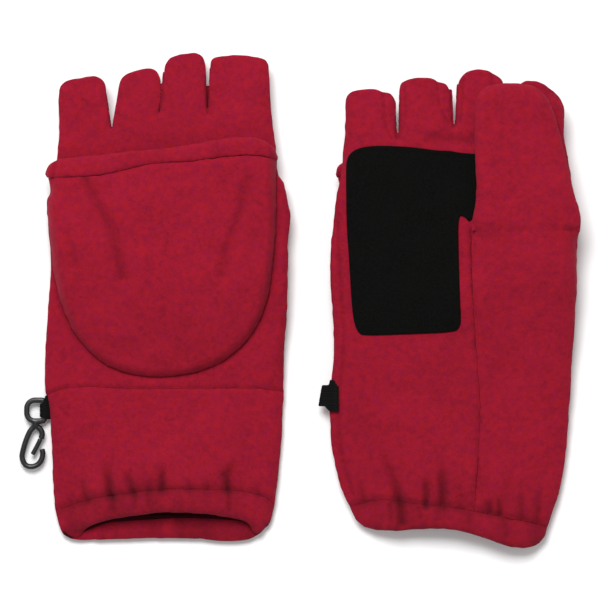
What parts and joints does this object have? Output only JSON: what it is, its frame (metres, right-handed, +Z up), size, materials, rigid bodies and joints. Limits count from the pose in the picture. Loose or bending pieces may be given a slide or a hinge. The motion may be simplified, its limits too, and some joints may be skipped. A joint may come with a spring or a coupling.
{
  "type": "convertible flip-top mittens",
  "caption": "Fleece flip-top mittens lying flat: fingerless glove with a fold-over hood, grip patch on the palm, elastic cuff, hang loop and snap hook.",
  "frame": {"origin": "middle of the bottom of the whole pair, on the surface it lies on", "axes": "+X from the left mitten to the right mitten, +Y towards the fingertips, +Z up; the left mitten lies palm down and the right mitten palm up"},
  "size_m": [0.2696, 0.237, 0.0264],
  "materials": {
    "fleece": "brushed crimson fleece, matte, short pile",
    "gusset_fleece": "brushed crimson fleece, matte, in the shade between the fingers",
    "grip_patch": "black suede-like cloth, matte",
    "webbing": "woven black tape",
    "elastic": "covered elastic band, inside the hems",
    "hook_plastic": "moulded black plastic, semi-gloss"
  },
  "bodies": {
    "left_glove": {"left_hand_back": "fleece", "left_cuff_back": "fleece", "left_palm_panel": "fleece", "left_thumb_side_panel": "fleece", "left_palm_patch": "grip_patch", "left_fourchette_little_ring": "gusset_fleece", "left_fourchette_ring_middle": "gusset_fleece", "left_fourchette_middle_index": "gusset_fleece", "left_cuff_hem": "fleece", "left_cuff_elastic": "elastic"},
    "left_hood": {"left_hood_back": "fleece", "left_hood_front": "fleece", "left_hood_hem": "fleece", "left_hood_elastic": "elastic"},
    "left_thumb": {"left_thumb_front": "fleece", "left_thumb_back": "fleece"},
    "left_loop": {"left_hang_loop": "webbing"},
    "right_glove": {"right_hand_back": "fleece", "right_cuff_back": "fleece", "right_palm_panel": "fleece", "right_thumb_side_panel": "fleece", "right_palm_patch": "grip_patch", "right_fourchette_little_ring": "gusset_fleece", "right_fourchette_ring_middle": "gusset_fleece", "right_fourchette_middle_index": "gusset_fleece", "right_cuff_hem": "fleece", "right_cuff_elastic": "elastic"},
    "right_hood": {"right_hood_back": "fleece", "right_hood_front": "fleece", "right_hood_hem": "fleece", "right_hood_elastic": "elastic"},
    "right_thumb": {"right_thumb_front": "fleece", "right_thumb_back": "fleece"},
    "right_loop": {"right_hang_loop": "webbing"},
    "hook": {"hook": "hook_plastic"},
    "hook_tongue": {"hook_tongue": "hook_plastic"}
  },
  "joints": [
    {"name": "pair_spread", "type": "slide", "parent": "left_glove", "child": "right_glove", "axis": [1, 0, 0], "range_m": [0, 0.1]},
    {"name": "left_hood_flip", "type": "hinge", "parent": "left_glove", "child": "left_hood", "pos_m": [-0.06325, 0.06875, 0.0157], "axis": [-1, 0, 0], "range_deg": [0, 180], "deforming": ["left_hood_front", "left_hood_hem", "left_hood_elastic"]},
    {"name": "left_thumb_fold", "type": "hinge", "parent": "left_glove", "child": "left_thumb", "pos_m": [-0.03025, 0.03375, 0.0009], "axis": [-1, 0, 0], "range_deg": [0, 70]},
    {"name": "left_loop_swing", "type": "hinge", "parent": "left_glove", "child": "left_loop", "pos_m": [-0.12165, -0.05255, 0.00365], "axis": [0, 1, 0], "range_deg": [-35, 35]},
    {"name": "right_hood_flip", "type": "hinge", "parent": "right_glove", "child": "right_hood", "pos_m": [0.07595, 0.06875, 0.0107], "axis": [1, 0, 0], "range_deg": [0, 180], "deforming": ["right_hood_front", "right_hood_hem", "right_hood_elastic"]},
    {"name": "right_thumb_fold", "type": "hinge", "parent": "right_glove", "child": "right_thumb", "pos_m": [0.10895, 0.03375, 0.0255], "axis": [1, 0, 0], "range_deg": [0, 70]},
    {"name": "right_loop_swing", "type": "hinge", "parent": "right_glove", "child": "right_loop", "pos_m": [0.01375, -0.04525, 0.00769], "axis": [0, 1, 0], "range_deg": [-35, 35]},
    {"name": "hook_swing", "type": "hinge", "parent": "left_loop", "child": "hook", "pos_m": [-0.12285, -0.05255, 0.00365], "axis": [0, 1, 0], "range_deg": [-50, 50]},
    {"name": "hook_tongue_flex", "type": "hinge", "parent": "hook", "child": "hook_tongue", "pos_m": [-0.12447, -0.06615, 0.00365], "axis": [0, 0, -1], "range_deg": [0, 10], "stiffness_Nm_per_rad": 0.01}
  ]
}
